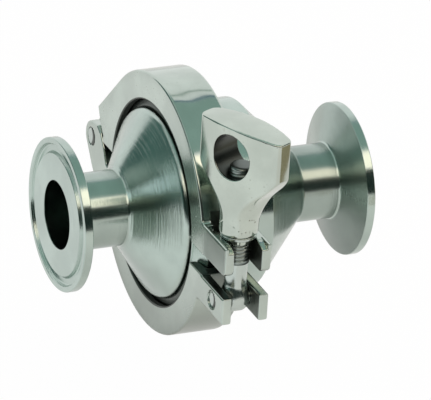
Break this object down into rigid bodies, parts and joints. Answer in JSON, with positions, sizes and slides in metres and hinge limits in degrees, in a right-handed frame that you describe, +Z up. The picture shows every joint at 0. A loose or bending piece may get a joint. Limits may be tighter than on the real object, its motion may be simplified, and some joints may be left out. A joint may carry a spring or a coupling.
{
  "type": "sanitary spring check valve",
  "caption": "Hygienic spring-loaded check valve with clamp ferrule ends and a two-part body held by a hinged clamp with a wing nut.",
  "frame": {"origin": "centre of the inlet end face, on the flow axis", "axes": "+X along the flow from inlet to outlet; +Z up, parallel to the body clamp's swing bolt, which stands on the -Y side; the clamp's hinge pin is on the +Y side"},
  "size_m": [0.1013, 0.1275, 0.0947],
  "materials": {
    "turned_stainless": "fine turned and polished stainless steel",
    "polished_casting": "investment cast stainless steel, belt ground and polished",
    "bright_pin_steel": "bright drawn stainless steel",
    "spring_steel": "drawn spring wire",
    "ptfe": "white sintered fluoropolymer",
    "epdm": "moulded black elastomer"
  },
  "bodies": {
    "valve_body": {"inlet_body": "turned_stainless", "outlet_body": "turned_stainless", "body_gasket": "epdm", "spring_washer": "bright_pin_steel", "guide_bush": "ptfe", "guide_spider": "turned_stainless", "guide_snap_ring": "spring_steel", "return_spring": "spring_steel", "clamp_lower": "polished_casting", "hinge_pin": "bright_pin_steel", "bolt_pin": "bright_pin_steel"},
    "poppet": {"valve_disc": "turned_stainless", "disc_seal": "epdm", "disc_nut": "bright_pin_steel", "valve_stem": "bright_pin_steel", "stem_circlip": "spring_steel"},
    "clamp_lid": {"clamp_upper": "polished_casting"},
    "bolt": {"swing_bolt": "bright_pin_steel"},
    "nut_carrier": {"nut_washer": "bright_pin_steel"},
    "nut": {"wing_nut": "polished_casting"}
  },
  "joints": [
    {"name": "poppet_slide", "type": "slide", "parent": "valve_body", "child": "poppet", "axis": [1, 0, 0], "range_m": [0, 0.008], "stiffness_N_per_m": 300, "springref_m": -0.008, "deforming": ["return_spring"]},
    {"name": "clamp_hinge", "type": "hinge", "parent": "valve_body", "child": "clamp_lid", "pos_m": [0.04073, 0.05265, 0], "axis": [-1, 0, 0], "range_deg": [0, 6.35]},
    {"name": "bolt_swing", "type": "hinge", "parent": "valve_body", "child": "bolt", "pos_m": [0.04073, -0.05255, -0.0099], "axis": [1, 0, 0], "range_deg": [0, 150]},
    {"name": "nut_travel", "type": "slide", "parent": "bolt", "child": "nut_carrier", "axis": [0, 0, 1], "range_m": [0, 0.01255]},
    {"name": "nut_spin", "type": "hinge", "parent": "nut_carrier", "child": "nut", "pos_m": [0.04073, -0.05255, 0.03], "axis": [0, 0, 1], "range_deg": [0, 3600]}
  ],
  "couplings": [
    {"joint": "nut_travel", "follows": "nut_spin", "m_per_rad": 0.00019894},
    {"joint": "clamp_hinge", "follows": "nut_spin", "ratio": 0.0017507}
  ]
}
